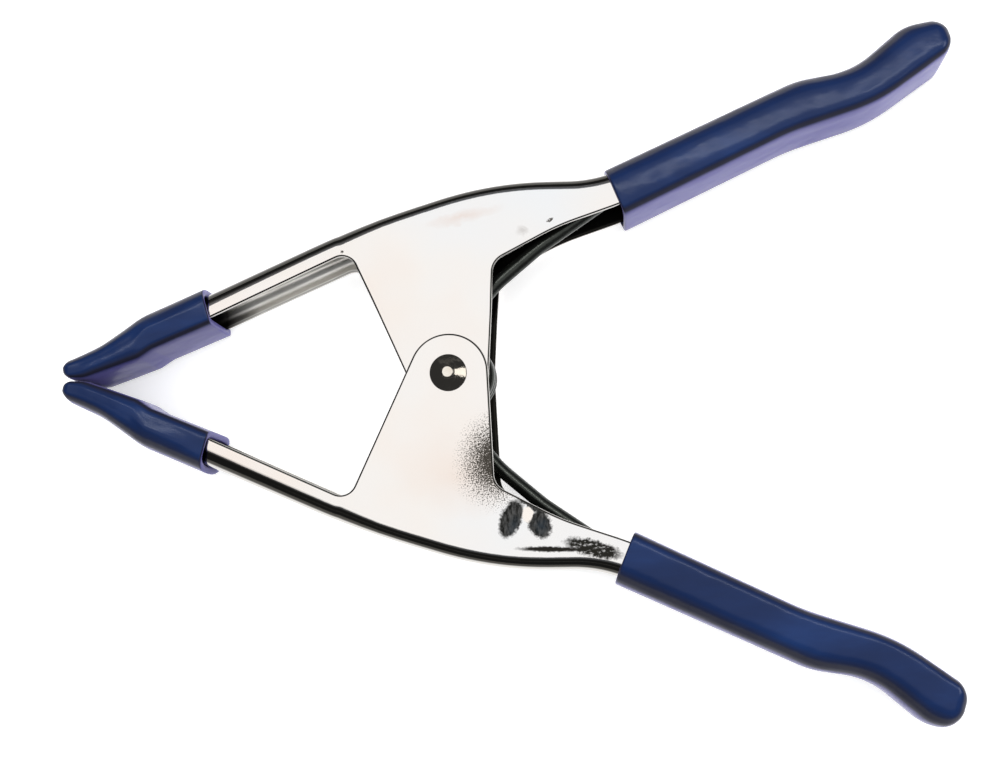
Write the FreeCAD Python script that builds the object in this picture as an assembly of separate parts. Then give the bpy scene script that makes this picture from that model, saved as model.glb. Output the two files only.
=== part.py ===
import FreeCAD, Part
import math
import os

# A sheet-steel spring clamp lying on its side. Millimetres.
# X runs from the jaws (-X) to the handles (+X), Y across the two arms, Z up along the rivet.
# The origin is on the rivet's axis, in the plane that the clamp rests on.
# Outlines are drawn for the upper arm, on the +Y side; the lower arm is their mirror image.

Vector = FreeCAD.Vector

# ---- driving dimensions ----
SHEET = 1.7                 # thickness of the arms' steel sheet
ARM_HALF_WIDTH = 11.5       # half the outside width of the folded arm
BACK_RADIUS = 4.5           # outside radius of the fold between an arm's back and its sides
SIDE_GAP = 0.15             # play between the lower arm's ears and the upper arm's, each side
TAPER_START_X = -14.0       # the jaws narrow from here to their tips
TAPER_DEGREES = 1.6
TAPER_BEND_RADIUS = 800.0
EAR_RADIUS = 9.85           # round end of the ears
EAR_FLAT_TOP = 14.5         # the upper arm's ears are flat up to here, then lean out
EAR_LEAN_TOP = 27.5         # and reach the full width here
RIVET_RADIUS = 3.0
RIVET_PLAY = 0.05           # radial running clearance in the ears
HANDLE_SLEEVE_HALF_WIDTH = 13.0
UPPER_SLEEVE_ENDS = (-0.3, 1.4)     # how far its mouth and its closed end are moved along X
LOWER_SLEEVE_ENDS = (0.9, -1.2)
JAW_SLEEVE_HALF_WIDTH = 12.4
HANDLE_SLEEVE_EDGE = 2.5    # rounding of the sleeves' long edges
JAW_SLEEVE_EDGE = 2.0
HEAD_RADIUS = 4.6
HEAD_RISE = 2.3             # the rivet's domed head, above the ears
HEAD_RIM = 0.55             # straight rim below the dome
HEAD_NIB_RADIUS = 1.7       # flat at the top of the dome
TAIL_RADIUS = 4.8
WIRE_RADIUS = 1.8
COIL_RADIUS = 7.0           # middle of the wire
COIL_PITCH = 3.7
COIL_WHOLE_TURNS = 4        # turns counted before the angle between the legs is taken off
LEG_BEND_RADIUS = 30.0

# ---- worked out ----
MID_Z = HANDLE_SLEEVE_HALF_WIDTH
INNER_EAR_HALF_WIDTH = ARM_HALF_WIDTH - SHEET - SIDE_GAP
TAIL_RISE = HANDLE_SLEEVE_HALF_WIDTH - ARM_HALF_WIDTH
COIL_CENTRE_X = COIL_RADIUS - WIRE_RADIUS - RIVET_RADIUS - 0.1
FAR = 60.0                  # well past any face of one arm
CLEAR = 2.0                 # how far a cutting block stands past the faces it cuts
UNDER_Y = -20.0             # well below the ears
BACK_OVERRUN = 8.0          # how far the back is run on past the sheet's ends

# ---- outlines: (x, y, radius of the corner) ----
JAW_END = (-95.6, 3.45)
ARM_BACK = [
    JAW_END + (0,),
    (-87.6, 7.75, 25), (-78.1, 14.95, 18),          # step down to the flattened jaw tip
    (-22.5, 38.95, 250), (10.5, 48.85, 95),         # long crown over the ears
    (37.0, 48.85, 33),                              # dip where the handle starts
    (88.4, 71.46, 25), (101.0, 73.6, 28),           # finger knuckle
    (115.4, 84.6, 5), (116.75, 84.88, 0),           # turned-up end
]
ARM_FRONT = [
    (119.3, 85.4, 2.6), (121.2, 77.9, 2.0),         # rounded end of the handle
    (107.6, 67.9, 45), (86.0, 60.9, 60), (44.5, 42.0, 80), (27.5, 36.3, 60),
    (11.26, 27.86, 4.5),                            # behind the ear
]
EAR_FRONT_CORNER = (-24.97, 31.1, 3.8)
ARM_JAW = [
    (-75.5, 8.5, 5), (-77.8, 7.0, 4), (-92.6, 1.9, 8), (-95.6, 1.9, 0),
]
HANDLE_SLEEVE = [
    (39.2, 51.65, 0.6), (87.2, 73.25, 22), (101.2, 75.35, 22), (114.3, 86.45, 10),
    (122.1, 87.65, 3.5), (125.2, 78.2, 2.8),
    (107.5, 65.6, 45), (85.8, 58.66, 60), (44.4, 39.0, 0.6),
]
JAW_SLEEVE = [
    (-59.9, 13.45, 0.5), (-75.0, 7.3, 5), (-78.5, 5.0, 4), (-92.4, 0.15, 8),
    (-97.5, 0.15, 2.1), (-98.1, 4.75, 2.2),
    (-88.6, 9.5, 25), (-78.9, 16.65, 18), (-62.8, 23.55, 0.5),
]
# The upper leg's bends, as the middle of the wire: it crosses from the coil to the arm's back.
LEG_BENDS = [(10.9, 22.4), (22.3, 32.0)]
LEG_END = (46.6, 48.5)


def handle_sleeve_outline(mouth_shift, end_shift):
    """The handle sleeve's outline with its mouth and its closed end moved along the handle."""
    points = list(HANDLE_SLEEVE)
    moves = ((0, 1, mouth_shift), (8, 7, mouth_shift), (4, 3, end_shift), (5, 6, end_shift))
    for corner, neighbour, shift in moves:
        x, y, radius = points[corner]
        slope = (HANDLE_SLEEVE[neighbour][1] - y) / (HANDLE_SLEEVE[neighbour][0] - x)
        points[corner] = (x + shift, y + shift * slope, radius)
    return points


def corner_edges(points, closed):
    """Straight runs joined by tangent arcs through (x, y, radius) corners, in the plane z = 0."""
    count = len(points)
    edges = []
    last_end = None
    first_start = None
    for i in range(count):
        here = Vector(points[i][0], points[i][1], 0)
        radius = points[i][2]
        is_sharp = radius == 0 or (not closed and i in (0, count - 1))
        if is_sharp:
            start = here
            end = here
        else:
            to_last = Vector(*points[i - 1][:2], 0) - here
            to_next = Vector(*points[(i + 1) % count][:2], 0) - here
            to_last.normalize()
            to_next.normalize()
            half = to_last.getAngle(to_next) / 2
            reach = radius / math.tan(half)
            start = here + to_last * reach
            end = here + to_next * reach
            middle = to_last + to_next
            middle.normalize()
            top = here + middle * (radius / math.sin(half) - radius)
        if last_end is not None and (start - last_end).Length > 1e-6:
            edges.append(Part.makeLine(last_end, start))
        if first_start is None:
            first_start = start
        if not is_sharp:
            edges.append(Part.Arc(start, top, end).toShape())
        last_end = end
    if closed:
        edges.append(Part.makeLine(last_end, first_start))
    return edges


def slab(points, half_width):
    """A closed outline extruded to both sides of the middle plane."""
    face = Part.Face(Part.Wire(corner_edges(points, True)))
    face.translate(Vector(0, 0, -half_width))
    return face.extrude(Vector(0, 0, 2 * half_width))


def prism_along_x(profile, start_x, end_x):
    """A (y, z) polygon extruded along X."""
    corners = [Vector(start_x, y, z) for y, z in profile]
    wire = Part.makePolygon(corners + corners[:1])
    return Part.Face(wire).extrude(Vector(end_x - start_x, 0, 0))


def ear_tangent_corner(outside_point, turn):
    """The point where a line from outside_point touches the ear's round end."""
    distance = math.hypot(*outside_point)
    angle = math.atan2(outside_point[1], outside_point[0]) + turn * math.acos(EAR_RADIUS / distance)
    return Vector(EAR_RADIUS * math.cos(angle), EAR_RADIUS * math.sin(angle), 0)


def arm_side_view(half_width):
    """The whole arm's side view with its ears, extruded."""
    rear = ear_tangent_corner(ARM_FRONT[-1][:2], -1)
    front = ear_tangent_corner(EAR_FRONT_CORNER[:2], 1)
    upper_run = ARM_BACK + ARM_FRONT + [(rear.x, rear.y, 0)]
    lower_run = [(front.x, front.y, 0), EAR_FRONT_CORNER] + ARM_JAW + [JAW_END + (0,)]
    round_end = Part.Arc(rear, Vector(0, -EAR_RADIUS, 0), front).toShape()
    edges = corner_edges(upper_run, False) + [round_end] + corner_edges(lower_run, False)
    face = Part.Face(Part.Wire(Part.__sortEdges__(edges)))
    face.translate(Vector(0, 0, -half_width))
    return face.extrude(Vector(0, 0, 2 * half_width))


def taper_block(half_width):
    """The width seen from the arm's back: even at the handle, narrowing to the jaw tip."""
    angle = math.radians(TAPER_DEGREES)
    middle = angle / 2
    bend_end_x = TAPER_START_X - TAPER_BEND_RADIUS * math.sin(angle)
    bend_end_z = half_width - TAPER_BEND_RADIUS * (1 - math.cos(angle))
    tip_x = JAW_END[0] - 1.5 * BACK_OVERRUN
    tip_z = bend_end_z + (tip_x - bend_end_x) * math.tan(angle)
    half = []
    for side in (1, -1):
        start = Vector(TAPER_START_X, 0, side * half_width)
        halfway = Vector(
            TAPER_START_X - TAPER_BEND_RADIUS * math.sin(middle),
            0,
            side * (half_width - TAPER_BEND_RADIUS * (1 - math.cos(middle))),
        )
        end = Vector(bend_end_x, 0, side * bend_end_z)
        tip = Vector(tip_x, 0, side * tip_z)
        far = Vector(2 * FAR + BACK_OVERRUN, 0, side * half_width)
        half.append((far, start, halfway, end, tip))
    edges = []
    for far, start, halfway, end, tip in half:
        edges.append(Part.makeLine(far, start))
        edges.append(Part.Arc(start, halfway, end).toShape())
        edges.append(Part.makeLine(end, tip))
    edges.append(Part.makeLine(half[0][4], half[1][4]))
    edges.append(Part.makeLine(half[0][0], half[1][0]))
    face = Part.Face(Part.Wire(Part.__sortEdges__(edges)))
    face.translate(Vector(0, -FAR, 0))
    return face.extrude(Vector(0, 3 * FAR, 0))


def envelope(inset):
    """A deep body under the arm's back, with the fold's rounded edges, drawn in by inset."""
    back = Part.Wire(corner_edges(stretched_back(), False))
    if inset > 0:
        back = back.makeOffset2D(inset, 2, False, True)
    ends = sorted((back.OrderedVertexes[0].Point, back.OrderedVertexes[-1].Point), key=lambda p: p.x)
    left = Vector(ends[0].x, UNDER_Y, 0)
    right = Vector(ends[1].x, UNDER_Y, 0)
    rest = [Part.makeLine(ends[1], right), Part.makeLine(right, left), Part.makeLine(left, ends[0])]
    face = Part.Face(Part.Wire(Part.__sortEdges__(back.Edges + rest)))
    face.translate(Vector(0, 0, -2 * ARM_HALF_WIDTH))
    block = face.extrude(Vector(0, 0, 4 * ARM_HALF_WIDTH))
    block = block.common(taper_block(ARM_HALF_WIDTH - inset))
    folds = [edge for edge in block.Edges if is_fold(edge, block)]
    return block.makeFillet(BACK_RADIUS - inset, folds)


def stretched_back():
    """The back's corners with both ends run on past the sheet."""
    jaw_slope = (ARM_BACK[1][1] - JAW_END[1]) / (ARM_BACK[1][0] - JAW_END[0])
    end_slope = (ARM_BACK[-1][1] - ARM_BACK[-2][1]) / (ARM_BACK[-1][0] - ARM_BACK[-2][0])
    first = (JAW_END[0] - BACK_OVERRUN, JAW_END[1] - BACK_OVERRUN * jaw_slope, 0)
    last = (ARM_BACK[-1][0] + BACK_OVERRUN, ARM_BACK[-1][1] + BACK_OVERRUN * end_slope, 0)
    return [first] + ARM_BACK[1:-1] + [last]


def is_fold(edge, block):
    """True for an edge that runs along the back, between the back and one side."""
    box = edge.BoundBox
    middle = edge.valueAt((edge.FirstParameter + edge.LastParameter) / 2)
    spans_width = box.ZLength > ARM_HALF_WIDTH / 2
    on_floor = middle.y < UNDER_Y + 1
    on_end = box.XLength < 1e-3
    return not (spans_width or on_floor or on_end) and abs(middle.z) > 1


def ear_lean(half_width):
    """What the lean of one side's ears leaves out: the space beyond the leaning sheet."""
    drop = ARM_HALF_WIDTH - INNER_EAR_HALF_WIDTH
    low = half_width - drop
    profile = [
        (EAR_LEAN_TOP, half_width), (EAR_FLAT_TOP, low), (-2 * EAR_RADIUS, low),
        (-2 * EAR_RADIUS, half_width + CLEAR), (EAR_LEAN_TOP, half_width + CLEAR),
    ]
    return prism_along_x(profile, EAR_FRONT_CORNER[0], ARM_FRONT[-1][0] + CLEAR)


def both_sides(shape):
    """The shape and its mirror image in the middle plane."""
    return [shape, shape.mirror(Vector(0, 0, 0), Vector(0, 0, 1))]


def make_arm(leaning):
    """One folded arm, solid through, and its hollow, both about the middle plane."""
    outer = envelope(0).common(arm_side_view(2 * ARM_HALF_WIDTH))
    hollow = envelope(SHEET)
    if leaning:
        for piece in both_sides(ear_lean(ARM_HALF_WIDTH)):
            outer = outer.cut(piece)
        for piece in both_sides(ear_lean(ARM_HALF_WIDTH - SHEET)):
            hollow = hollow.cut(piece)
    bore = Part.makeCylinder(RIVET_RADIUS + RIVET_PLAY, 4 * ARM_HALF_WIDTH, Vector(0, 0, -2 * ARM_HALF_WIDTH))
    return outer, outer.cut(hollow).cut(bore)


def make_sleeve(outline, half_width, edge_radius, filled_arm):
    """A dipped vinyl sleeve: rounded outside, fitting the arm inside, closed over the open channel."""
    body = slab(outline, half_width)
    rims = []
    for edge in body.Edges:
        middle = edge.valueAt((edge.FirstParameter + edge.LastParameter) / 2)
        if edge.BoundBox.ZLength < 1e-6 and not on_mouth(middle, outline):
            rims.append(edge)
    return body.makeFillet(edge_radius, rims).cut(filled_arm)


def on_mouth(point, outline):
    """True near the line between the outline's first and last corners, where the arm comes out."""
    first = Vector(outline[0][0], outline[0][1], point.z)
    last = Vector(outline[-1][0], outline[-1][1], point.z)
    return point.distanceToLine(first, last - first) < 0.7


def make_rivet():
    """Shank with a domed head on top and a flat formed head below."""
    top = ARM_HALF_WIDTH
    dome_base = top + HEAD_RIM
    dome_top = top + HEAD_RISE
    chamfer = 0.5
    dome_middle = Vector(
        (HEAD_RADIUS + HEAD_NIB_RADIUS) / 2 + 0.45, 0, (dome_base + dome_top) / 2 + 0.45)
    profile = [
        Part.makeLine(Vector(0, 0, -top - TAIL_RISE), Vector(TAIL_RADIUS - chamfer, 0, -top - TAIL_RISE)),
        Part.makeLine(
            Vector(TAIL_RADIUS - chamfer, 0, -top - TAIL_RISE),
            Vector(TAIL_RADIUS, 0, -top - TAIL_RISE + chamfer)),
        Part.makeLine(Vector(TAIL_RADIUS, 0, -top - TAIL_RISE + chamfer), Vector(TAIL_RADIUS, 0, -top)),
        Part.makeLine(Vector(TAIL_RADIUS, 0, -top), Vector(RIVET_RADIUS, 0, -top)),
        Part.makeLine(Vector(RIVET_RADIUS, 0, -top), Vector(RIVET_RADIUS, 0, top)),
        Part.makeLine(Vector(RIVET_RADIUS, 0, top), Vector(HEAD_RADIUS, 0, top)),
        Part.makeLine(Vector(HEAD_RADIUS, 0, top), Vector(HEAD_RADIUS, 0, dome_base)),
        Part.Arc(
            Vector(HEAD_RADIUS, 0, dome_base), dome_middle, Vector(HEAD_NIB_RADIUS, 0, dome_top)).toShape(),
        Part.makeLine(Vector(HEAD_NIB_RADIUS, 0, dome_top), Vector(0, 0, dome_top)),
        Part.makeLine(Vector(0, 0, dome_top), Vector(0, 0, -top - TAIL_RISE)),
    ]
    face = Part.Face(Part.Wire(profile))
    return face.revolve(Vector(0, 0, 0), Vector(0, 0, 1), 360)


def round_bar(path, start, direction):
    """The spring's wire along a path."""
    ring = Part.Wire(Part.makeCircle(WIRE_RADIUS, start, direction))
    return path.makePipeShell([ring], True, True)


def make_spring():
    """Left-hand coil round the rivet, and a leg into the back of each arm."""
    first_bend = Vector(LEG_BENDS[0][0] - COIL_CENTRE_X, LEG_BENDS[0][1], 0)
    to_bend = math.atan2(first_bend.y, first_bend.x)
    leave = to_bend - math.asin(COIL_RADIUS / first_bend.Length) + math.pi / 2
    turns = COIL_WHOLE_TURNS - 2 * math.degrees(leave) / 360
    height = turns * COIL_PITCH
    helix = Part.makeHelix(COIL_PITCH, height, COIL_RADIUS, 0, True)
    helix.rotate(Vector(0, 0, 0), Vector(0, 0, 1), -math.degrees(leave))
    helix.translate(Vector(COIL_CENTRE_X, 0, -height / 2))
    helix_start = helix.Edges[0].valueAt(helix.Edges[0].FirstParameter)
    spring = round_bar(helix, helix_start, helix.Edges[0].tangentAt(helix.Edges[0].FirstParameter))
    for side in (1, -1):
        z = side * height / 2
        leave_point = (
            COIL_CENTRE_X + COIL_RADIUS * math.cos(leave), COIL_RADIUS * math.sin(leave), 0)
        corners = [leave_point] + [bend + (LEG_BEND_RADIUS,) for bend in LEG_BENDS] + [LEG_END + (0,)]
        corners = [(x, side * y, radius) for x, y, radius in corners]
        path = Part.Wire(corner_edges(corners, False))
        path.translate(Vector(0, 0, z))
        begin = Vector(corners[0][0], corners[0][1], z)
        heading = Vector(corners[1][0], corners[1][1], z) - begin
        joint = Part.makeSphere(WIRE_RADIUS, begin)
        spring = spring.fuse([round_bar(path, begin, heading), joint])
    return spring


def mirrored(shape):
    """The lower arm's copy of a shape drawn for the upper one."""
    return shape.mirror(Vector(0, 0, 0), Vector(0, 1, 0))


def main():
    upper_arm = make_arm(True)[1]
    filled_lower, lower_arm = make_arm(False)
    upper_sleeve, lower_sleeve = [
        make_sleeve(handle_sleeve_outline(*ends), HANDLE_SLEEVE_HALF_WIDTH, HANDLE_SLEEVE_EDGE, filled_lower)
        for ends in (UPPER_SLEEVE_ENDS, LOWER_SLEEVE_ENDS)
    ]
    jaw_sleeve = make_sleeve(JAW_SLEEVE, JAW_SLEEVE_HALF_WIDTH, JAW_SLEEVE_EDGE, filled_lower)
    nodes = {
        "upper_arm": upper_arm,
        "lower_arm": mirrored(lower_arm),
        "upper_handle_sleeve": upper_sleeve,
        "lower_handle_sleeve": mirrored(lower_sleeve),
        "upper_jaw_sleeve": jaw_sleeve,
        "lower_jaw_sleeve": mirrored(jaw_sleeve),
        "pivot_rivet": make_rivet(),
        "torsion_spring": make_spring(),
    }
    os.makedirs("parts", exist_ok=True)
    for name, shape in nodes.items():
        shape.translate(Vector(0, 0, MID_Z))
        if not shape.isValid() or len(shape.Solids) != 1:
            raise ValueError(name + " is not one valid solid")
        solid = shape.Solids[0]
        solid.exportStep("parts/" + name + ".step")
        box = solid.BoundBox
        print(name, "volume", round(solid.Volume), "box", [round(v, 2) for v in (
            box.XMin, box.YMin, box.ZMin, box.XMax, box.YMax, box.ZMax)])


main()
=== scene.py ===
import math

import bpy
import numpy as np
from mathutils import Matrix, Vector


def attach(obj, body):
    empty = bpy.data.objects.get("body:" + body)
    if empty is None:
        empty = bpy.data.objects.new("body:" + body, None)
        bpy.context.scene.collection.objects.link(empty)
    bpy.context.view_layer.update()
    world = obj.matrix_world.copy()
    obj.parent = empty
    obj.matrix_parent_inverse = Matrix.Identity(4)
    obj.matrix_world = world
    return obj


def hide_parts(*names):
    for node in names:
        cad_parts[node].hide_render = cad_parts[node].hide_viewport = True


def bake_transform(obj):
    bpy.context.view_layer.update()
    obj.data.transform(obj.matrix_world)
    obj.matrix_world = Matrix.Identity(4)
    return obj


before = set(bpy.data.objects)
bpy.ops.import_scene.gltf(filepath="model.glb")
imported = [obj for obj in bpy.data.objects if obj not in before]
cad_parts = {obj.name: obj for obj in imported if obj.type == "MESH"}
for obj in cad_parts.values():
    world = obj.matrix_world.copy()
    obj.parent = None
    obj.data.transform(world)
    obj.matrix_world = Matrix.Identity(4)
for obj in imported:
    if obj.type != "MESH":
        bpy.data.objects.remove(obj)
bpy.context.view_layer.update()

MM = 0.001
MID_Z = 13.0

# ---- sheet-steel arms ----
SHEET = 1.7
ARM_HALF_WIDTH = 11.5
TAPER_START_X = -14.0
TAPER_SLOPE = math.tan(math.radians(1.6))
TAPER_EASE = 22.0
EAR_RADIUS = 9.85
EAR_DROP = 1.85
EAR_FLAT_TOP = 14.5
EAR_LEAN_TOP = 27.5
EAR_FRONT_X = -24.99
BORE_RADIUS = 3.05
CUT_ROUND = 0.62
BACK_CROWN = 0.3
# radius of the fold between the back and the sides, along the arm: (x, radius)
FOLD_RADIUS = [
    (-96, 3.4), (-80, 5.4), (-60, 6.8), (-44, 6.8), (-30, 5.0),
    (-18, 4.2), (14, 3.9), (30, 4.0), (45, 4.5), (122, 4.5),
]
LEAST_FOLD = 2.1

JAW_END = (-95.6, 3.45)
ARM_BACK = [
    JAW_END + (0,), (-87.6, 7.75, 25), (-78.1, 14.95, 18), (-22.5, 38.95, 250), (10.5, 48.85, 95),
    (37.0, 48.85, 33), (88.4, 71.46, 25), (101.0, 73.6, 28), (115.4, 84.6, 5), (118.6, 85.26, 0),
]
ARM_FRONT = [
    (120.2, 78.6, 0), (119.9, 77.0, 0.8), (107.6, 67.9, 45), (86.0, 60.9, 60), (44.5, 42.0, 80),
    (27.5, 36.3, 60), (11.26, 27.86, 4.5),
]
EAR_FRONT_CORNER = (-24.97, 31.1, 3.8)
ARM_JAW = [(-75.5, 8.5, 5), (-77.8, 7.0, 4), (-92.6, 1.9, 8), (-95.6, 1.9, 0)]
# where a cross-section meets the back and the cut edge, and the number of columns that lead up to it
ARM_SECTIONS = [
    ((-78.1, 13.4), (-76.6, 7.8), 34), ((-27.6, 37.6), (-25.2, 30.6), 90),
    ((11.6, 47.8), (12.2, 28.8), 210), ((27.0, 48.5), (28.2, 36.6), 40),
    ((42.2, 51.4), (46.0, 43.1), 40), ((83.6, 69.0), (87.0, 61.5), 70),
    ((102.0, 74.3), (107.3, 68.2), 50),
]
ARM_LAST_COLUMNS = 34
# rows of points in half a section: over the back, round the fold, down the side, round the cut edge
CROWN_ROWS = 6
FOLD_ROWS = 19
SIDE_ROWS = 20
RIM_ROWS = 8
HALF_ROWS = CROWN_ROWS + FOLD_ROWS + SIDE_ROWS
# the channel's dull inside starts part of the way round the cut edge
FIRST_INSIDE_ROW = HALF_ROWS + 5

# ---- dipped sleeves: outlines in the side view, from the mouth to the closed end ----
HANDLE_SLEEVE_BACK = [
    (39.2, 51.65, 0), (87.2, 73.25, 22), (101.2, 75.35, 22), (114.3, 86.45, 10), (122.1, 87.65, 0),
]
HANDLE_SLEEVE_INNER = [(44.4, 39.0, 0), (85.8, 58.66, 60), (107.5, 65.6, 45), (125.2, 78.2, 0)]
JAW_SLEEVE_BACK = [(-62.8, 23.55, 0), (-78.9, 16.65, 18), (-88.6, 9.5, 25), (-98.3, 4.95, 0)]
JAW_SLEEVE_INNER = [
    (-59.9, 13.45, 0), (-75.0, 7.3, 5), (-78.5, 5.0, 4), (-92.4, 0.15, 8), (-97.5, 0.15, 0),
]
SLEEVE_POINTS = 128
SLEEVE_COLUMNS = 150
SLEEVE_END_STEPS = 14
LIP_REACH = 0.35
# a sleeve's section: where it is widest between its inner face and its back, and how square each side is
SLEEVE_WIDEST = 0.47
INNER_SQUARENESS = 6.0
BACK_SQUARENESS = 2.7
# the jaw sleeves' raised line: shares of the sleeve's width across, and of its length from the mouth
RIDGE_HEIGHT = 0.5
RIDGE_ACROSS = 0.50
RIDGE_WIDTH = 0.13
RIDGE_STEP = 0.20
RIDGE_STEP_START = 0.38
RIDGE_STEP_LENGTH = 0.16
RIDGE_FADE_IN = 0.25
RIDGE_FADE_OUT = 0.22

# ---- rivet and spring ----
RIVET_RADIUS = 3.0
WIRE_RADIUS = 1.8
COIL_RADIUS = 7.0
COIL_PITCH = 3.7
COIL_CENTRE_X = 2.1
LEG_BENDS = [(10.9, 22.4), (22.3, 32.0)]
LEG_END = (46.6, 48.5)
LEG_BEND_RADIUS = 30.0
COIL_TURNS = 4
COIL_POINTS = 260
LEG_POINTS = 60
WIRE_POINTS = 28
WIRE_END_ROUND = 0.4


def rounded(points):
    """Straight runs with rounded corners through (x, y, radius) corners, as dense points."""
    out = [np.array(points[0][:2], float)]
    for i in range(1, len(points) - 1):
        here = np.array(points[i][:2], float)
        radius = points[i][2]
        if radius == 0:
            out.append(here)
            continue
        to_last = np.array(points[i - 1][:2], float) - here
        to_next = np.array(points[i + 1][:2], float) - here
        to_last /= np.linalg.norm(to_last)
        to_next /= np.linalg.norm(to_next)
        half = math.acos(max(-1.0, min(1.0, float(to_last @ to_next)))) / 2
        middle = (to_last + to_next) / np.linalg.norm(to_last + to_next)
        centre = here + middle * radius / math.sin(half)
        start = here + to_last * radius / math.tan(half) - centre
        end = here + to_next * radius / math.tan(half) - centre
        sweep = math.pi - 2 * half
        steps = max(6, int(sweep / math.radians(1.5)))
        for k in range(steps + 1):
            t = k / steps
            between = start * math.sin((1 - t) * sweep) + end * math.sin(t * sweep)
            out.append(centre + between / math.sin(sweep))
    out.append(np.array(points[-1][:2], float))
    return np.array(out)


def lengths(path):
    """Arc length at each point of a path."""
    return np.concatenate([[0.0], np.cumsum(np.linalg.norm(np.diff(path, axis=0), axis=1))])


def at_length(path, where):
    """Points on a path at the given arc lengths."""
    along = lengths(path)
    return np.stack([np.interp(where, along, path[:, k]) for k in range(2)], axis=1)


def nearest_length(path, point):
    """Arc length of the path's point nearest to a given one."""
    a = path[:-1]
    d = path[1:] - a
    t = np.clip(((np.array(point) - a) * d).sum(1) / np.maximum((d * d).sum(1), 1e-12), 0, 1)
    gap = np.linalg.norm(a + d * t[:, None] - np.array(point), axis=1)
    k = int(gap.argmin())
    return lengths(path)[k] + t[k] * np.linalg.norm(d[k])


def smoothstep(t):
    t = np.clip(t, 0, 1)
    return t * t * (3 - 2 * t)


def normals_of(path, where, side):
    """Unit normals of a path at arc lengths, to its left (side 1) or right (-1)."""
    ahead = at_length(path, np.asarray(where) + 0.35)
    behind = at_length(path, np.asarray(where) - 0.35)
    d = ahead - behind
    d /= np.maximum(np.linalg.norm(d, axis=1), 1e-9)[:, None]
    return side * np.stack([-d[:, 1], d[:, 0]], axis=1)


def ear_tangent_corner(point, turn):
    """The angle on the ear's round end where a straight edge from the point touches it."""
    distance = math.hypot(point[0], point[1])
    return math.atan2(point[1], point[0]) + turn * math.acos(EAR_RADIUS / distance)


def arm_paths():
    """The back's silhouette and the cut edge, both from the jaw end to the handle end."""
    back = rounded(ARM_BACK)
    rear = ear_tangent_corner(ARM_FRONT[-1], -1)
    front = ear_tangent_corner(EAR_FRONT_CORNER, 1)
    while front > rear:
        front -= 2 * math.pi
    while front + 2 * math.pi < rear:
        front += 2 * math.pi
    sweep = np.linspace(front, rear, 90)
    if not any(abs((a + math.pi / 2 + math.pi) % (2 * math.pi) - math.pi) < 0.1 for a in sweep):
        sweep = np.linspace(front + 2 * math.pi, rear, 90)
    round_end = np.stack([EAR_RADIUS * np.cos(sweep), EAR_RADIUS * np.sin(sweep)], axis=1)
    to_ear = rounded(list(reversed(ARM_JAW)) + [EAR_FRONT_CORNER] + [tuple(round_end[0]) + (0,)])
    from_ear = rounded([tuple(round_end[-1]) + (0,)] + list(reversed(ARM_FRONT)))
    return back, np.concatenate([to_ear, round_end[1:-1], from_ear])


def half_width_at(x):
    """The folded arm narrows towards the jaw."""
    t = np.maximum(TAPER_START_X - x, 0)
    eased = np.where(t < TAPER_EASE, t * t / (2 * TAPER_EASE), t - TAPER_EASE / 2)
    return ARM_HALF_WIDTH - TAPER_SLOPE * eased


def lean_at(x, y, leaning):
    """How far the upper arm's ears lean in, to pass between the lower arm's."""
    if not leaning:
        return np.zeros_like(x)
    t = (EAR_LEAN_TOP - y) / (EAR_LEAN_TOP - EAR_FLAT_TOP)
    return np.where(x > EAR_FRONT_X, EAR_DROP * smoothstep(t), 0.0)


def section_stations(back, edge):
    """Matching arc lengths on the back and on the cut edge, one pair per cross-section."""
    back_marks = [0.0] + [nearest_length(back, s[0]) for s in ARM_SECTIONS] + [lengths(back)[-1]]
    edge_marks = [0.0] + [nearest_length(edge, s[1]) for s in ARM_SECTIONS] + [lengths(edge)[-1]]
    counts = [s[2] for s in ARM_SECTIONS] + [ARM_LAST_COLUMNS]
    on_back = []
    on_edge = []
    for k, count in enumerate(counts):
        t = np.arange(count) / count
        on_back.append(back_marks[k] + t * (back_marks[k + 1] - back_marks[k]))
        on_edge.append(edge_marks[k] + t * (edge_marks[k + 1] - edge_marks[k]))
    on_back.append([back_marks[-1]])
    on_edge.append([edge_marks[-1]])
    return np.concatenate(on_back), np.concatenate(on_edge)


def make_mesh(name, vertices, faces):
    """A smooth-shaded object from points and faces."""
    mesh = bpy.data.meshes.new(name)
    mesh.from_pydata([tuple(v) for v in vertices], [], faces)
    mesh.validate()
    mesh.update()
    mesh.polygons.foreach_set("use_smooth", [True] * len(mesh.polygons))
    obj = bpy.data.objects.new(name, mesh)
    bpy.context.scene.collection.objects.link(obj)
    return obj


def placed(points, mirror):
    """Millimetres about the middle plane to metres in the frame, mirrored for the lower arm."""
    out = np.array(points, float)
    if mirror:
        out[:, 1] *= -1
    out[:, 2] += MID_Z
    return out * MM


def grid_faces(columns, rows, start, closed_rows, flip):
    """Quads between neighbouring rings of points; flip turns them to face the other way."""
    faces = []
    last_row = rows if closed_rows else rows - 1
    for c in range(columns - 1):
        for r in range(last_row):
            a = start + c * rows + r
            b = start + c * rows + (r + 1) % rows
            quad = (a, b, b + rows, a + rows)
            faces.append(quad[::-1] if flip else quad)
    return faces


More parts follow.
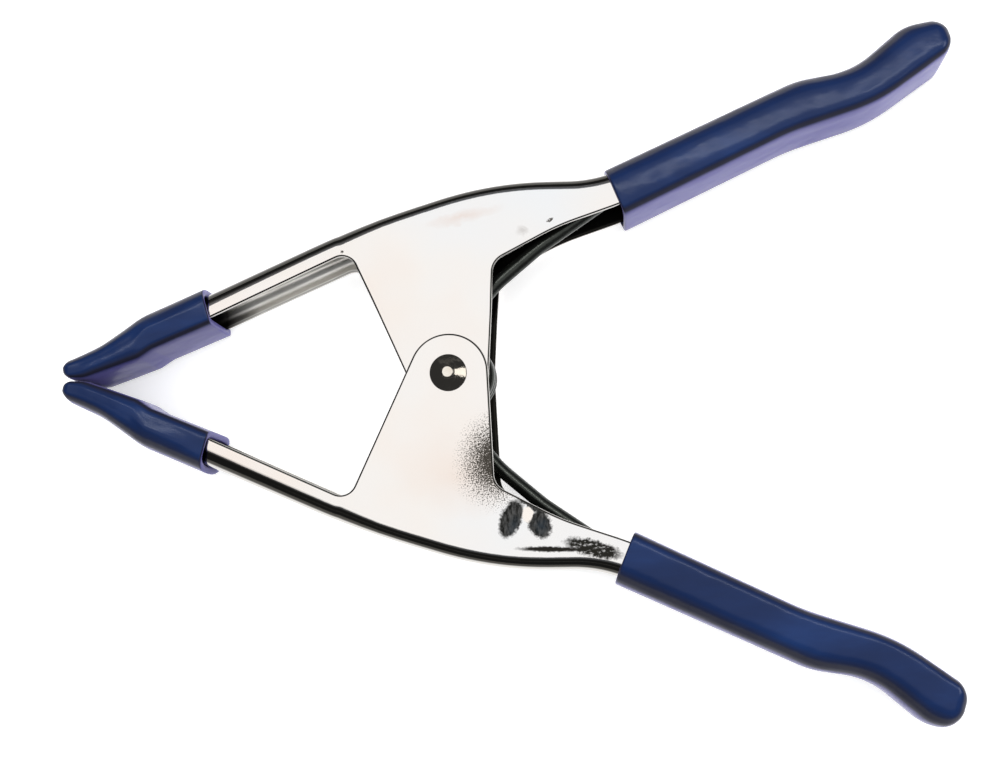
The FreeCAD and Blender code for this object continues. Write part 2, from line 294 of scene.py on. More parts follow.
def arm_section(leaning):
    """Rings of points round the folded sheet, one ring per cross-section."""
    back, edge = arm_paths()
    on_back, on_edge = section_stations(back, edge)
    crown = at_length(back, on_back)
    inward = normals_of(back, on_back, -1)
    free = at_length(edge, on_edge)
    outward = normals_of(edge, on_edge, -1)
    fold = np.interp(crown[:, 0], [p[0] for p in FOLD_RADIUS], [p[1] for p in FOLD_RADIUS])
    room = ((free - crown) * inward).sum(1)
    fold = np.minimum(fold, np.maximum(room - SHEET, LEAST_FOLD))

    def side_width(point, skin):
        return half_width_at(point[:, 0]) - skin - lean_at(point[:, 0], point[:, 1], leaning)

    def half_ring(skin):
        """(points in the side view, half width) from the crown to the cut edge, at a depth in the sheet."""
        rows = []
        radius = fold - skin
        for t in np.linspace(0, 1, CROWN_ROWS + 1)[:-1]:
            point = crown + inward * (skin + BACK_CROWN * t * t)
            rows.append((point, (half_width_at(point[:, 0]) - fold) * t))
        # the fold starts at the slope the crown ends on and turns to the flat side
        for angle in np.linspace(0, math.pi / 2, FOLD_ROWS):
            down = skin + BACK_CROWN + (radius - BACK_CROWN) * (1 - math.cos(angle))
            point = crown + inward * down[:, None]
            rows.append((point, half_width_at(point[:, 0]) - fold + radius * math.sin(angle)))
        shoulder = rows[-1][0]
        limit = free - outward * CUT_ROUND
        for t in np.linspace(0, 1, SIDE_ROWS + 1)[1:]:
            point = shoulder + (limit - shoulder) * t
            rows.append((point, side_width(point, skin)))
        return rows

    outer = half_ring(0.0)
    inner = half_ring(SHEET)
    rim = []
    for step in (22.5, 45, 67.5, 90):
        turn = math.radians(step)
        rim.append((CUT_ROUND * (1 - math.sin(turn)), CUT_ROUND * (1 - math.cos(turn))))
    rim += [(inset, SHEET - skin) for inset, skin in reversed(rim)]
    edge_rows = []
    for inset, skin in rim:
        point = free - outward * inset
        edge_rows.append((point, side_width(point, skin)))
    top = outer + edge_rows + inner[:0:-1]
    ring = [(p, z) for p, z in top] + [(inner[0][0], np.zeros(len(crown)))]
    ring += [(p, -z) for p, z in top[:0:-1]]
    columns = len(crown)
    grid = np.zeros((columns, len(ring), 3))
    for r, (point, z) in enumerate(ring):
        grid[:, r, :2] = point
        grid[:, r, 2] = z
    return grid


def make_arm(name, leaning, mirror):
    """A folded arm with the rivet's holes; the inside of its channel takes the second material."""
    grid = arm_section(leaning)
    columns, rows = grid.shape[:2]
    points = placed(grid.reshape(-1, 3), mirror)
    faces = grid_faces(columns, rows, 0, True, not mirror)
    for first, flip in ((0, mirror), ((columns - 1) * rows, not mirror)):
        faces += end_strip(first, rows, flip)
    arm = make_mesh(name, points, faces)
    # both slots are there before the bore is cut, so that the faces keep their material
    for _ in range(2):
        arm.data.materials.append(None)
    for k, polygon in enumerate(arm.data.polygons):
        row = k % rows
        if k < (columns - 1) * rows and FIRST_INSIDE_ROW <= row < rows - FIRST_INSIDE_ROW:
            polygon.material_index = 1
    drill(arm)
    return arm


def end_strip(first, rows, flip):
    """Faces that close the folded sheet's end, between its outer and its inner skin."""
    outer = [first + k for k in range(HALF_ROWS)]
    inner = [first + 2 * HALF_ROWS + RIM_ROWS - 1 - k for k in range(HALF_ROWS)]
    middle = [first + HALF_ROWS + k for k in range(RIM_ROWS)]
    faces = []
    for side in (1, -1):
        def index(i):
            return i if side == 1 else first + (rows - (i - first)) % rows
        for k in range(HALF_ROWS - 1):
            quad = [index(outer[k]), index(outer[k + 1]), index(inner[k + 1]), index(inner[k])]
            faces.append(tuple(quad if (side == 1) != flip else quad[::-1]))
        cap = [index(outer[-1])] + [index(i) for i in middle] + [index(inner[-1])]
        faces.append(tuple(cap if (side == 1) != flip else cap[::-1]))
    return faces


def drill(arm):
    """The rivet's holes through both ears."""
    tool = lathe("rivet_hole_cutter", [(0, -20), (BORE_RADIUS, -20), (BORE_RADIUS, 20), (0, 20)], 96)
    cut = arm.modifiers.new("rivet_hole", "BOOLEAN")
    cut.object = tool
    cut.solver = "EXACT"
    graph = bpy.context.evaluated_depsgraph_get()
    mesh = bpy.data.meshes.new_from_object(arm.evaluated_get(graph))
    arm.modifiers.clear()
    arm.data = mesh
    mesh.name = arm.name
    bpy.data.objects.remove(tool)


def lathe(name, profile, steps):
    """A (radius, z) profile turned about the rivet's axis, which it starts and ends on."""
    vertices = [(0, 0, profile[0][1])]
    for radius, z in profile[1:-1]:
        for k in range(steps):
            a = 2 * math.pi * k / steps
            vertices.append((radius * math.cos(a), radius * math.sin(a), z))
    vertices.append((0, 0, profile[-1][1]))
    last = len(vertices) - 1
    rings = len(profile) - 2
    faces = [(0, 1 + (k + 1) % steps, 1 + k) for k in range(steps)]
    for r in range(rings - 1):
        for k in range(steps):
            a = 1 + r * steps + k
            b = 1 + r * steps + (k + 1) % steps
            faces.append((a, b, b + steps, a + steps))
    base = 1 + (rings - 1) * steps
    faces += [(base + k, base + (k + 1) % steps, last) for k in range(steps)]
    return make_mesh(name, placed(vertices, False), faces)


def sleeve_section():
    """Unit cross-section of a sleeve: (0..1 from the inner face to the back, -1..1 across)."""
    ring = []
    for k in range(SLEEVE_POINTS):
        a = 2 * math.pi * k / SLEEVE_POINTS
        c, s = math.cos(a), math.sin(a)
        power = INNER_SQUARENESS if c < 0 else BACK_SQUARENESS
        reach = SLEEVE_WIDEST if c < 0 else 1 - SLEEVE_WIDEST
        ring.append((
            SLEEVE_WIDEST + reach * math.copysign(abs(c) ** (2 / power), c),
            math.copysign(abs(s) ** (2 / power), s),
        ))
    return np.array(ring)


def ridge(t, across, height):
    """A raised line with one step, on a jaw sleeve's flat sides where the skin clings to the steel."""
    line = RIDGE_ACROSS - RIDGE_STEP * smoothstep((t - RIDGE_STEP_START) / RIDGE_STEP_LENGTH)
    fade_in = smoothstep(min(1.0, t / RIDGE_FADE_IN))
    fade_out = smoothstep(min(1.0, (1 - t) / RIDGE_FADE_OUT))
    return height * (fade_in * fade_out) * np.exp(-((across - line) / RIDGE_WIDTH) ** 2)


def make_sleeve(
        name, back_points, inner_points, mirror, half_width, wall, end_round, mouth_depth, ridge_height=0.0):
    """A dipped sleeve: skin from the mouth to the rounded end, rim, and the lining seen in the mouth."""
    back = rounded(back_points)
    inner = rounded(inner_points)
    ring = sleeve_section()
    ease = np.linspace(0, math.pi / 2, SLEEVE_END_STEPS)
    end_share = end_round / lengths(inner)[-1]
    along = np.concatenate([
        np.linspace(0, 1 - end_share, SLEEVE_COLUMNS),
        (1 - end_share) + end_share * np.sin(ease[1:]),
    ])
    shrink = np.concatenate([np.zeros(SLEEVE_COLUMNS), end_round * (1 - np.cos(ease[1:]))])

    def station(t, inset):
        a = at_length(inner, np.array([t * lengths(inner)[-1]]))[0]
        b = at_length(back, np.array([t * lengths(back)[-1]]))[0]
        d = (b - a) / np.linalg.norm(b - a)
        return a + d * inset, b - d * inset

    rows = []

    def add_ring(t, inset, width, push=0.0):
        a, b = station(t, inset)
        points = a + (b - a) * ring[:, :1]
        forward = np.array([-(b - a)[1], (b - a)[0]]) / np.linalg.norm(b - a)
        if forward @ (at_length(inner, np.array([3.0]))[0] - inner[0]) < 0:
            forward = -forward
        points = points + forward * push
        rows.append(np.column_stack([points, ring[:, 1] * width]))

    depths = np.linspace(mouth_depth, 0.5, 9)
    for d in depths:
        add_ring(d / lengths(inner)[-1], wall, half_width - wall)
    for turn in np.radians([30, 60, 90, 120, 150]):
        inset = wall / 2 + wall / 2 * math.cos(turn)
        add_ring(0.0, inset, half_width - inset, -LIP_REACH * math.sin(turn) + LIP_REACH)
    for t, s in zip(along[1:], shrink[1:]):
        add_ring(t, s, half_width - s + ridge(t, ring[:, 0], ridge_height))
    points = np.concatenate(rows)
    columns = len(rows)
    turned = inner_points[0][0] < 0
    faces = grid_faces(columns, SLEEVE_POINTS, 0, True, mirror != turned)
    first = tuple(range(SLEEVE_POINTS))
    last = tuple(range((columns - 1) * SLEEVE_POINTS, columns * SLEEVE_POINTS))
    faces.append(first[::-1] if mirror == turned else first)
    faces.append(last if mirror == turned else last[::-1])
    return make_mesh(name, placed(points, mirror), faces)


def wire_path():
    """The middle of the spring's wire: lower leg, coil, upper leg."""
    first_bend = np.array([LEG_BENDS[0][0] - COIL_CENTRE_X, LEG_BENDS[0][1]])
    reach = float(np.linalg.norm(first_bend))
    leave = math.atan2(first_bend[1], first_bend[0]) - math.asin(COIL_RADIUS / reach) + math.pi / 2
    turns = COIL_TURNS - 2 * math.degrees(leave) / 360
    height = turns * COIL_PITCH
    start = (COIL_CENTRE_X + COIL_RADIUS * math.cos(leave), COIL_RADIUS * math.sin(leave), 0)
    corners = [start] + [b + (LEG_BEND_RADIUS,) for b in LEG_BENDS] + [LEG_END + (0,)]
    leg = rounded(corners)
    leg = at_length(leg, np.linspace(0, lengths(leg)[-1], LEG_POINTS))
    lower = np.column_stack([leg[::-1] * (1, -1), np.full(LEG_POINTS, -height / 2)])
    upper = np.column_stack([leg, np.full(LEG_POINTS, height / 2)])
    t = np.linspace(0, 1, COIL_POINTS)[1:-1]
    # the left-hand coil climbs as it turns clockwise from the lower leg to the upper one
    a = -leave - t * 2 * math.pi * turns
    climb = smoothstep(t) * 0.04 + t * 0.96 - 0.5
    coil = np.column_stack([
        COIL_CENTRE_X + COIL_RADIUS * np.cos(a), COIL_RADIUS * np.sin(a), height * climb,
    ])
    return np.concatenate([lower, coil, upper])


def make_spring():
    """Round wire swept along its path, with rounded ends."""
    path = wire_path()
    tangent = np.gradient(path, axis=0)
    tangent /= np.linalg.norm(tangent, axis=1)[:, None]
    side = np.array([0.0, 0.0, 1.0])
    rows = []
    ease = np.linspace(0, math.pi / 2, 6)
    for k, (point, forward) in enumerate(zip(path, tangent)):
        side = side - forward * (side @ forward)
        side /= np.linalg.norm(side)
        other = np.cross(forward, side)
        sizes = [(WIRE_RADIUS, 0.0)]
        if k == 0:
            sizes = [(1 - math.sin(e), -math.cos(e)) for e in ease]
            sizes = [(WIRE_RADIUS - WIRE_END_ROUND * i, WIRE_END_ROUND * j) for i, j in sizes]
        if k == len(path) - 1:
            sizes = [(1 - math.cos(e), math.sin(e)) for e in ease]
            sizes = [(WIRE_RADIUS - WIRE_END_ROUND * i, WIRE_END_ROUND * j) for i, j in sizes]
        for radius, push in sizes:
            a = np.linspace(0, 2 * math.pi, WIRE_POINTS, endpoint=False)
            circle = np.cos(a)[:, None] * side + np.sin(a)[:, None] * other
            rows.append(point + forward * push + radius * circle)
    faces = grid_faces(len(rows), WIRE_POINTS, 0, True, False)
    faces.append(tuple(range(WIRE_POINTS))[::-1])
    faces.append(tuple(range((len(rows) - 1) * WIRE_POINTS, len(rows) * WIRE_POINTS)))
    return make_mesh("torsion_spring_wire", placed(np.concatenate(rows), False), faces)


def make_rivet():
    """Shank, cone-shaped head with a low nib, and the flat formed head below."""
    profile = [(0, -13.0), (4.2, -13.0), (4.5, -12.9), (4.72, -12.7), (4.8, -12.5), (4.8, -11.6)]
    profile += [(4.75, -11.5), (RIVET_RADIUS, -11.5)]
    profile += [(RIVET_RADIUS, 11.5), (4.5, 11.5), (4.6, 11.6), (4.6, 11.75)]
    cone_rings = 18
    for k in range(1, cone_rings + 1):
        t = k / cone_rings
        profile.append((4.6 - 2.85 * t, 11.75 + 1.556 * t + 0.06 * math.sin(math.pi * t)))
    profile += [(1.62, 13.48), (1.52, 13.64), (1.36, 13.75), (1.1, 13.80), (0.6, 13.82), (0, 13.83)]
    return lathe("rivet", profile, 128)


# ---- materials ----
def nodes_of(name):
    """A new material with its node tree and its main shader."""
    material = bpy.data.materials.new(name)
    material.use_nodes = True
    tree = material.node_tree
    return material, tree, tree.nodes["Principled BSDF"]


def add(tree, kind, **inputs):
    node = tree.nodes.new(kind)
    for key, value in inputs.items():
        node.inputs[key.replace("_", " ")].default_value = value
    return node


def noise(tree, scale, detail=4.0, rough=0.55, stretch=None):
    coords = tree.nodes.new("ShaderNodeTexCoord")
    node = add(tree, "ShaderNodeTexNoise", Scale=scale, Detail=detail, Roughness=rough)
    if stretch:
        mapping = tree.nodes.new("ShaderNodeMapping")
        mapping.inputs["Scale"].default_value = stretch
        tree.links.new(coords.outputs["Object"], mapping.inputs["Vector"])
        tree.links.new(mapping.outputs["Vector"], node.inputs["Vector"])
    else:
        tree.links.new(coords.outputs["Object"], node.inputs["Vector"])
    return node.outputs["Fac"]


def ramp(tree, source, stops):
    node = tree.nodes.new("ShaderNodeValToRGB")
    elements = node.color_ramp.elements
    while len(elements) < len(stops):
        elements.new(0.5)
    for element, (where, colour) in zip(elements, stops):
        element.position = where
        element.color = (*colour, 1) if len(colour) == 3 else colour
    tree.links.new(source, node.inputs["Fac"])
    return node.outputs["Color"]


def remap(tree, source, low, high, to_low, to_high):
    node = tree.nodes.new("ShaderNodeMapRange")
    node.inputs["From Min"].default_value = low
    node.inputs["From Max"].default_value = high
    node.inputs["To Min"].default_value = to_low
    node.inputs["To Max"].default_value = to_high
    tree.links.new(source, node.inputs["Value"])
    return node.outputs["Result"]


def bump(tree, height, strength, distance, under=None):
    node = add(tree, "ShaderNodeBump", Strength=strength, Distance=distance)
    tree.links.new(height, node.inputs["Height"])
    if under:
        tree.links.new(under, node.inputs["Normal"])
    return node.outputs["Normal"]


def patch(tree, centre, reach, turn=0.0, wobble=0.0012, grain=420, edge=0.35):
    """A soft-edged spot on the upper side, for marks and for painted reflections: 1 inside, 0 outside.
    Millimetres and degrees.
    """
    coords = tree.nodes.new("ShaderNodeTexCoord")
    ragged = add(tree, "ShaderNodeTexNoise", Scale=grain, Detail=5.0, Roughness=0.65)
    tree.links.new(coords.outputs["Object"], ragged.inputs["Vector"])
    centred = tree.nodes.new("ShaderNodeVectorMath")
    centred.operation = "SUBTRACT"
    centred.inputs[1].default_value = (0.5, 0.5, 0.5)
    tree.links.new(ragged.outputs["Color"], centred.inputs[0])
    scaled = tree.nodes.new("ShaderNodeVectorMath")
    scaled.operation = "MULTIPLY_ADD"
    scaled.inputs[1].default_value = (wobble * 4, wobble * 4, 0)
    tree.links.new(centred.outputs["Vector"], scaled.inputs[0])
    tree.links.new(coords.outputs["Object"], scaled.inputs[2])
    mapping = tree.nodes.new("ShaderNodeMapping")
    mapping.vector_type = "TEXTURE"
    mapping.inputs["Location"].default_value = (centre[0] * MM, centre[1] * MM, 24.5 * MM)
    mapping.inputs["Rotation"].default_value = (0, 0, math.radians(turn))
    mapping.inputs["Scale"].default_value = (reach[0] * MM, reach[1] * MM, 4 * MM)
    tree.links.new(scaled.outputs["Vector"], mapping.inputs["Vector"])
    size = tree.nodes.new("ShaderNodeVectorMath")
    size.operation = "LENGTH"
    tree.links.new(mapping.outputs["Vector"], size.inputs[0])
    return remap(tree, size.outputs["Value"], 1.0, 1.0 - edge, 0.0, 1.0)


def times(tree, a, b):
    node = tree.nodes.new("ShaderNodeMath")
    node.operation = "MULTIPLY"
    node.use_clamp = True
    tree.links.new(a, node.inputs[0])
    if isinstance(b, float):
        node.inputs[1].default_value = b
    else:
        tree.links.new(b, node.inputs[1])
    return node.outputs["Value"]


def stain_or_painted_light(tree, under, colour, mask):
    """The colour under a spot, covered by another where the mask is 1: a real stain, or painted light or
    shade.
    """
    node = tree.nodes.new("ShaderNodeMix")
    node.data_type = "RGBA"
    tree.links.new(mask, node.inputs["Factor"])
    tree.links.new(under, node.inputs[6])
    node.inputs[7].default_value = (*colour, 1)
    return node.outputs[2]


def turned_away(tree, low, high):
    """1 where a surface faces along the clamp's plane, 0 where it faces up or down."""
    place = tree.nodes.new("ShaderNodeTexCoord")
    split = tree.nodes.new("ShaderNodeSeparateXYZ")
    tree.links.new(place.outputs["Normal"], split.inputs["Vector"])
    size = tree.nodes.new("ShaderNodeMath")
    size.operation = "ABSOLUTE"
    tree.links.new(split.outputs["Z"], size.inputs[0])
    return remap(tree, size.outputs["Value"], low, high, 0.0, 1.0)


def plated_steel(name, wear_and_sheen, fold, inside=False):
    """Bright nickel plating with one arm's own marks and painted shade where the sheet turns over, or the
    dull skin inside the channel with painted shade towards the spring and the jaw.
    """
    material, tree, shader = nodes_of(name)
    shader.inputs["Metallic"].default_value = 1.0
    stops = [(0.1, (0.84, 0.69, 0.58)), (0.5, (0.82, 0.785, 0.75)), (0.9, (0.76, 0.80, 0.84))]
    colour = ramp(tree, noise(tree, 17, 3), stops)
    colour = wear_and_sheen(tree, colour)
    # painted shade: the sheet is coloured dark where it turns over, and greyer on the back, for the darker
    # reflections there
    colour = stain_or_painted_light(tree, colour, (0.050, 0.047, 0.041), turned_away(tree, *fold))
    colour = stain_or_painted_light(tree, colour, (0.50, 0.48, 0.455), turned_away(tree, 0.56, 0.46))
    rough = remap(tree, noise(tree, 90, 5), 0.1, 0.9, 0.02, 0.12)
    if inside:
        place = tree.nodes.new("ShaderNodeTexCoord")
        split = tree.nodes.new("ShaderNodeSeparateXYZ")
        tree.links.new(place.outputs["Object"], split.inputs["Vector"])
        mottle = noise(tree, 130, 4, 0.6, (0.3, 1.0, 1.0))
        dull = ramp(tree, mottle, [(0.15, (0.52, 0.50, 0.46)), (0.85, (0.94, 0.92, 0.88))])
        # painted shade: the channel's inside goes near black towards the handle side of the pivot, where the
        # spring is, and dark from the jaw's sleeve mouth on towards the jaw
        near_spring = remap(tree, split.outputs["X"], -0.022, 0.000, 0.0, 1.0)
        near_jaw = remap(tree, split.outputs["X"], -0.052, -0.0605, 0.0, 1.0)
        colour = stain_or_painted_light(tree, dull, (0.022, 0.021, 0.018), near_spring)
        colour = stain_or_painted_light(tree, colour, (0.035, 0.033, 0.030), near_jaw)
        rough = remap(tree, noise(tree, 90, 5), 0.1, 0.9, 0.24, 0.42)
    tree.links.new(colour, shader.inputs["Base Color"])
    tree.links.new(rough, shader.inputs["Roughness"])
    drawn = bump(tree, noise(tree, 900, 3, stretch=(0.25, 1.0, 1.0)), 0.05, 0.0002)
    soft = bump(tree, noise(tree, 60, 2), 0.10, 0.0012, drawn)
    tree.links.new(soft, shader.inputs["Normal"])
    return material


def unworn(tree, colour):
    return colour


def lower_arm_wear_and_dent_sheen(tree, colour):
    """Sandy rub by the ear's rear edge, a pinched pair of dents at the handle's root drawn as painted dark
    reflection with bluish painted reflections in them and a painted highlight between, and smears.
    """
    warm = times(tree, patch(tree, (2.5, -25.0), (17.0, 12.0), 0, 0.0020, 120, 1.0), 0.45)
    colour = stain_or_painted_light(tree, colour, (0.78, 0.60, 0.48), warm)
    rub = patch(tree, (12.2, -21.5), (12.5, 15.0), -14, 0.0003, 300, 1.0)
    sand = tree.nodes.new("ShaderNodeMath")
    sand.operation = "MULTIPLY_ADD"
    sand.inputs[1].default_value = 0.46
    tree.links.new(rub, sand.inputs[0])
    tree.links.new(noise(tree, 3300, 3, 0.6), sand.inputs[2])
    grains = remap(tree, sand.outputs["Value"], 0.65, 0.78, 0.0, 0.97)
    # grains lie only where there is some rub
    rubbed = remap(tree, rub, 0.02, 0.20, 0.0, 1.0)
    colour = stain_or_painted_light(tree, colour, (0.032, 0.027, 0.020), times(tree, grains, rubbed))
    # painted reflection: the dents are coloured near black and streaked, with bluish painted reflections in
    # them and a painted highlight between them
    streaks = remap(tree, noise(tree, 1500, 4, 0.65, (1.0, 0.30, 1.0)), 0.40, 0.70, 1.0, 0.88)
    dents = (
        ((15.3, -36.2), (2.9, 5.4), -22),
        ((22.3, -37.6), (3.1, 3.9), 20),
        ((20.6, -33.0), (4.6, 1.1), -30),
    )
    for centre, reach, turn in dents:
        dent_shade = times(tree, patch(tree, centre, reach, turn, 0.0006, 900, 0.22), streaks)
        colour = stain_or_painted_light(tree, colour, (0.012, 0.012, 0.011), dent_shade)
    gleams = (((22.7, -38.0), (2.1, 2.4), 0.6), ((15.9, -37.8), (1.6, 3.2), 0.5))
    for centre, reach, strength in gleams:
        gleam = times(tree, patch(tree, centre, reach, -20, 0.0008, 1100, 0.9), strength)
        colour = stain_or_painted_light(tree, colour, (0.036, 0.048, 0.060), gleam)
    dent_highlight = patch(tree, (19.3, -35.2), (1.5, 2.1), 0, 0.0004, 500, 0.2)
    colour = stain_or_painted_light(tree, colour, (0.86, 0.80, 0.74), dent_highlight)
    line = patch(tree, (25.0, -43.7), (9.5, 0.8), -1, 0.0003, 700, 0.4)
    colour = stain_or_painted_light(tree, colour, (0.020, 0.018, 0.015), line)
    scuffed = remap(tree, noise(tree, 1700, 4, 0.65, (0.5, 1.0, 1.0)), 0.24, 0.46, 0.15, 1.0)
    smear = times(tree, patch(tree, (35.2, -43.6), (8.0, 2.3), -14, 0.0007, 900, 0.3), scuffed)
    return stain_or_painted_light(tree, colour, (0.020, 0.019, 0.016), smear)


def upper_arm_wear(tree, colour):
    """A faint warm smear, a grey patch and two nicks."""
    warm = times(tree, patch(tree, (4.0, 39.2), (10.5, 2.0), 12, 0.0010, 260, 0.9), 0.45)
    colour = stain_or_painted_light(tree, colour, (0.70, 0.54, 0.46), warm)
    grey = times(tree, patch(tree, (18.5, 35.3), (2.0, 1.6), 0, 0.0006, 500, 0.8), 0.5)
    colour = stain_or_painted_light(tree, colour, (0.45, 0.42, 0.40), grey)
    for centre, reach in (((-26.6, 31.0), (0.7, 0.5)), ((25.6, 37.8), (1.0, 0.4))):
        nick = patch(tree, centre, reach, 25, 0.0006, 900, 0.5)
        colour = stain_or_painted_light(tree, colour, (0.09, 0.08, 0.07), nick)
    return colour


def vinyl():
    """Dipped navy vinyl, a little mottled, with painted shade and less gloss on the turned edges, and a
    painted lavender reflection on the flat sides seen aslant.
    """
    material, tree, shader = nodes_of("dipped_navy_vinyl")
    stops = [
        (0.15, (0.0050, 0.0100, 0.035)), (0.5, (0.0064, 0.0165, 0.062)), (0.85, (0.0100, 0.0310, 0.115)),
    ]
    colour = ramp(tree, noise(tree, 60, 4, 0.6, (0.35, 1.0, 1.0)), stops)
    # painted shade: darker and greyer over the turned edges; painted reflection: a lavender haze on the flat
    # sides seen aslant
    flank = turned_away(tree, 0.30, 0.11)
    edge = times(tree, turned_away(tree, 0.92, 0.62), remap(tree, flank, 0.0, 1.0, 1.0, 0.0))
    colour = stain_or_painted_light(tree, colour, (0.0150, 0.0158, 0.0300), edge)
    facing = tree.nodes.new("ShaderNodeLayerWeight")
    aslant = remap(tree, facing.outputs["Facing"], 0.35, 0.75, 0.0, 0.95)
    colour = stain_or_painted_light(tree, colour, (0.108, 0.100, 0.31), times(tree, flank, aslant))
    tree.links.new(colour, shader.inputs["Base Color"])
    tree.links.new(remap(tree, noise(tree, 120, 4), 0.1, 0.9, 0.14, 0.25), shader.inputs["Roughness"])
    shader.inputs["IOR"].default_value = 1.5
    gloss = remap(tree, turned_away(tree, 0.80, 0.50), 0.0, 1.0, 0.17, 0.03)
    tree.links.new(gloss, shader.inputs["Specular IOR Level"])
    shader.inputs["Specular Tint"].default_value = (0.80, 0.86, 1.0, 1)
    shader.inputs["Sheen Weight"].default_value = 0.12
    shader.inputs["Sheen Roughness"].default_value = 0.3
    shader.inputs["Sheen Tint"].default_value = (0.58, 0.54, 1.0, 1)
    grain = bump(tree, noise(tree, 1400, 3), 0.08, 0.0002)
    sag = bump(tree, noise(tree, 75, 2), 0.30, 0.0018, grain)
    tree.links.new(sag, shader.inputs["Normal"])
    return material


def rivet_steel():
    """Plating like the arms', with painted dark reflection making the head's cone much darker."""
    material, tree, shader = nodes_of("rivet_plating")
    shader.inputs["Metallic"].default_value = 1.0
    colour = ramp(tree, noise(tree, 300, 4), [(0.1, (0.66, 0.58, 0.47)), (0.9, (0.88, 0.84, 0.78))])
    # painted reflection: the sloped and side faces are coloured much darker than the flat nib
    colour = stain_or_painted_light(tree, colour, (0.155, 0.142, 0.122), turned_away(tree, 0.97, 0.93))
    tree.links.new(colour, shader.inputs["Base Color"])
    tree.links.new(remap(tree, noise(tree, 500, 4), 0.1, 0.9, 0.05, 0.2), shader.inputs["Roughness"])
    tree.links.new(bump(tree, noise(tree, 900, 3), 0.2, 0.0003), shader.inputs["Normal"])
    return material


def spring_wire():
    """Nearly black oiled wire."""
    material, tree, shader = nodes_of("dark_spring_wire")
    shader.inputs["Metallic"].default_value = 0.85
    colour = ramp(tree, noise(tree, 200, 4), [(0.1, (0.018, 0.020, 0.017)), (0.9, (0.050, 0.054, 0.048))])
    tree.links.new(colour, shader.inputs["Base Color"])
    tree.links.new(remap(tree, noise(tree, 350, 4), 0.1, 0.9, 0.14, 0.34), shader.inputs["Roughness"])
    tree.links.new(bump(tree, noise(tree, 1100, 3), 0.12, 0.0003), shader.inputs["Normal"])
    return material


def floor_paper():
    """Plain pale ground that stays light in the shadows."""
    material, tree, shader = nodes_of("pale_paper")
    colour = ramp(tree, noise(tree, 12, 3), [(0.3, (0.93, 0.93, 0.93)), (0.7, (0.95, 0.95, 0.95))])
    tree.links.new(colour, shader.inputs["Base Color"])
    shader.inputs["Roughness"].default_value = 0.9
    shader.inputs["Emission Color"].default_value = (1, 1, 1, 1)
    shader.inputs["Emission Strength"].default_value = 0.50
    return material


def finish(obj, materials, body, node):
    """Gives a piece its materials, puts it under its body's empty if it has one, and hides the model's own
    mesh of the node it stands in for.
    """
    slots = obj.data.materials
    while len(slots) < len(materials):
        slots.append(None)
    for k, material in enumerate(materials):
        slots[k] = material
    if body:
        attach(obj, body)
    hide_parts(node)
    return obj


def shifted(points, mouth, end):
    """An outline's run with its mouth and its closed end moved along it."""
    out = list(points)
    for k, neighbour, shift in ((0, 1, mouth), (-1, -2, end)):
        x, y, radius = out[k]
        slope = (points[neighbour][1] - y) / (points[neighbour][0] - x)
        out[k] = (x + shift, y + shift * slope, radius)
    return out


blue = vinyl()
sleeves = []

# each arm: its marks with any painted dent reflections, the |normal z| range over which its painted fold
# shade comes in, whether its ears lean, whether it is mirrored
ARM_LOOKS = (
    ("upper", upper_arm_wear, (0.965, 0.90), True, False),
    ("lower", lower_arm_wear_and_dent_sheen, (0.985, 0.93), False, True),
)
for side, arm_wear_and_sheen, fold, leaning, mirror in ARM_LOOKS:
    body = side + "_arm"
    outside = plated_steel(body + "_plating", arm_wear_and_sheen, fold)
    inside = plated_steel(body + "_plating_inside", unworn, fold, inside=True)
    arm = make_arm(body + "_steel", leaning, mirror)
    finish(arm, [outside, inside], body, body)

for side, mirror, mouth, end in (("upper", False, -0.3, 1.4), ("lower", True, 0.9, -1.2)):
    body = side + "_arm"
    handle = make_sleeve(
        side + "_handle_vinyl",
        shifted(HANDLE_SLEEVE_BACK, mouth, end),
        shifted(HANDLE_SLEEVE_INNER, mouth, end),
        mirror, half_width=13.0, wall=1.4, end_round=3.6, mouth_depth=9.0)
    sleeves.append(finish(handle, [blue], body, side + "_handle_sleeve"))
    jaw = make_sleeve(
        side + "_jaw_vinyl", JAW_SLEEVE_BACK, JAW_SLEEVE_INNER,
        mirror, half_width=12.4, wall=1.75, end_round=1.9, mouth_depth=7.0, ridge_height=RIDGE_HEIGHT)
    sleeves.append(finish(jaw, [blue], body, side + "_jaw_sleeve"))

rivet = finish(make_rivet(), [rivet_steel()], "lower_arm", "pivot_rivet")
spring = finish(make_spring(), [spring_wire()], None, "torsion_spring")
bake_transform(spring)

# ---- floor, light and camera ----
FLOOR_REACH = 3
FLOOR_Z = -0.0001
corners = [(x * FLOOR_REACH, y * FLOOR_REACH, FLOOR_Z) for x, y in ((-1, -1), (1, -1), (1, 1), (-1, 1))]
floor = make_mesh("floor", corners, [(0, 1, 2, 3)])
floor.data.materials.append(floor_paper())

world = bpy.data.worlds.new("studio")
bpy.context.scene.world = world
world.use_nodes = True
world.node_tree.nodes["Background"].inputs["Color"].default_value = (0.92, 0.95, 1.0, 1)
world.node_tree.nodes["Background"].inputs["Strength"].default_value = 0.18


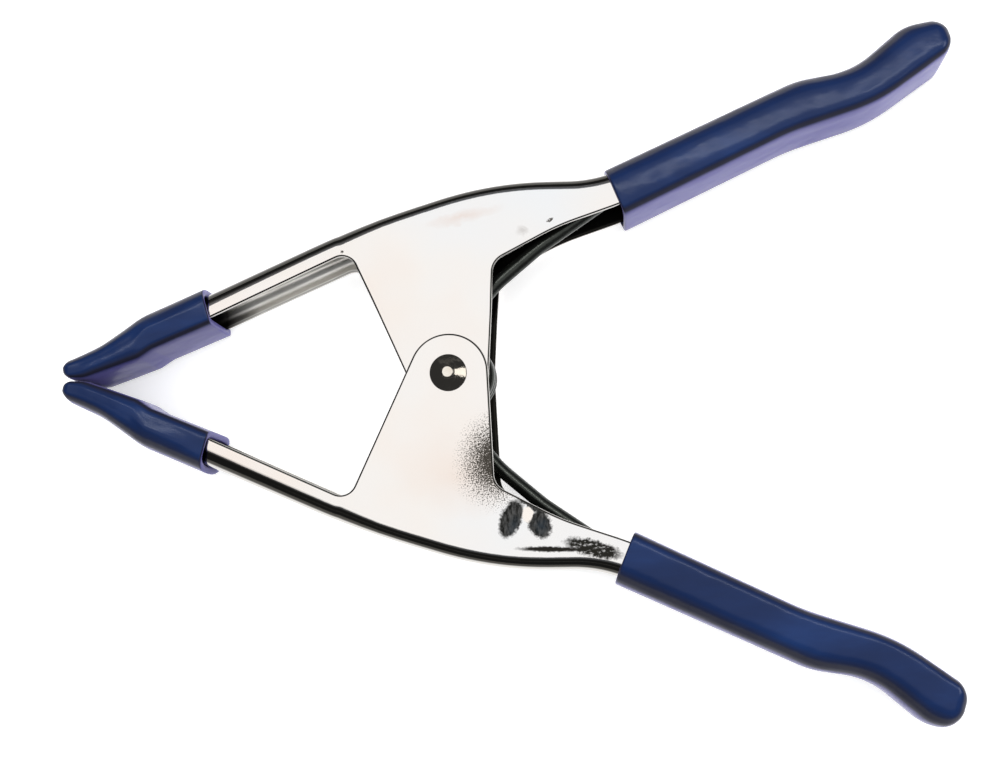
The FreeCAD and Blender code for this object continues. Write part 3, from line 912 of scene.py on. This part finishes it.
def softbox(name, place, aim, size, radiance, mirrored=True, only=None):
    """A soft rectangular lamp. One that isn't mirrored lights things but isn't seen in shiny metal."""
    data = bpy.data.lights.new(name, "AREA")
    data.shape = "RECTANGLE"
    data.size, data.size_y = size
    data.energy = radiance * math.pi * size[0] * size[1]
    lamp = bpy.data.objects.new(name, data)
    bpy.context.scene.collection.objects.link(lamp)
    lamp.location = place
    lamp.rotation_euler = (Vector(aim) - Vector(place)).to_track_quat("-Z", "Y").to_euler()
    lamp.visible_glossy = mirrored
    if only:
        lamp.light_linking.receiver_collection = only
    return lamp


def group(name, objects):
    collection = bpy.data.collections.new(name)
    for obj in objects:
        collection.objects.link(obj)
    return collection


softbox("overhead_softbox", (0.02, 0.14, 0.75), (0.02, 0.14, 0), (1.05, 1.05), 0.965)
softbox("overhead_fill", (0, 0, 0.80), (0, 0, 0), (1.4, 1.4), 1.15, mirrored=False)
strip_lit = group("strip_lit", sleeves + [spring])
softbox("long_strip", (0.05, 0.24, 0.72), (0.05, 0, 0), (0.9, 0.05), 12.0, only=strip_lit)
window_lit = group("window_lit", sleeves + [rivet])
softbox("side_window", (0.66, 0.105, 0.545), (0, 0, 0.02), (0.45, 0.34), 7.0, only=window_lit)
for y in (-1, 1):
    softbox("rim_%d" % (y + 1), (0, 0.95 * y, 0.52), (0, 0, 0), (1.6, 0.05), 0.55)

CAMERA_AT = Vector((0.04597, -0.05366, 0.43670))
CAMERA_AIM = Vector((0.01203, -0.00099, 0.013))
CAMERA_RIGHT = Vector((0.99671, -0.00725, -0.08075))
forward = (CAMERA_AIM - CAMERA_AT).normalized()
right = (CAMERA_RIGHT - forward * CAMERA_RIGHT.dot(forward)).normalized()
up = right.cross(forward)
camera = bpy.data.objects.new("camera", bpy.data.cameras.new("camera"))
bpy.context.scene.collection.objects.link(camera)
turn = Matrix((right, up, -forward)).transposed().to_4x4()
camera.matrix_world = Matrix.Translation(CAMERA_AT) @ turn
camera.data.sensor_width = 36
camera.data.lens = 60.82
camera.data.clip_start = 0.01
bpy.context.scene.camera = camera
bpy.context.scene.view_settings.view_transform = "Standard"
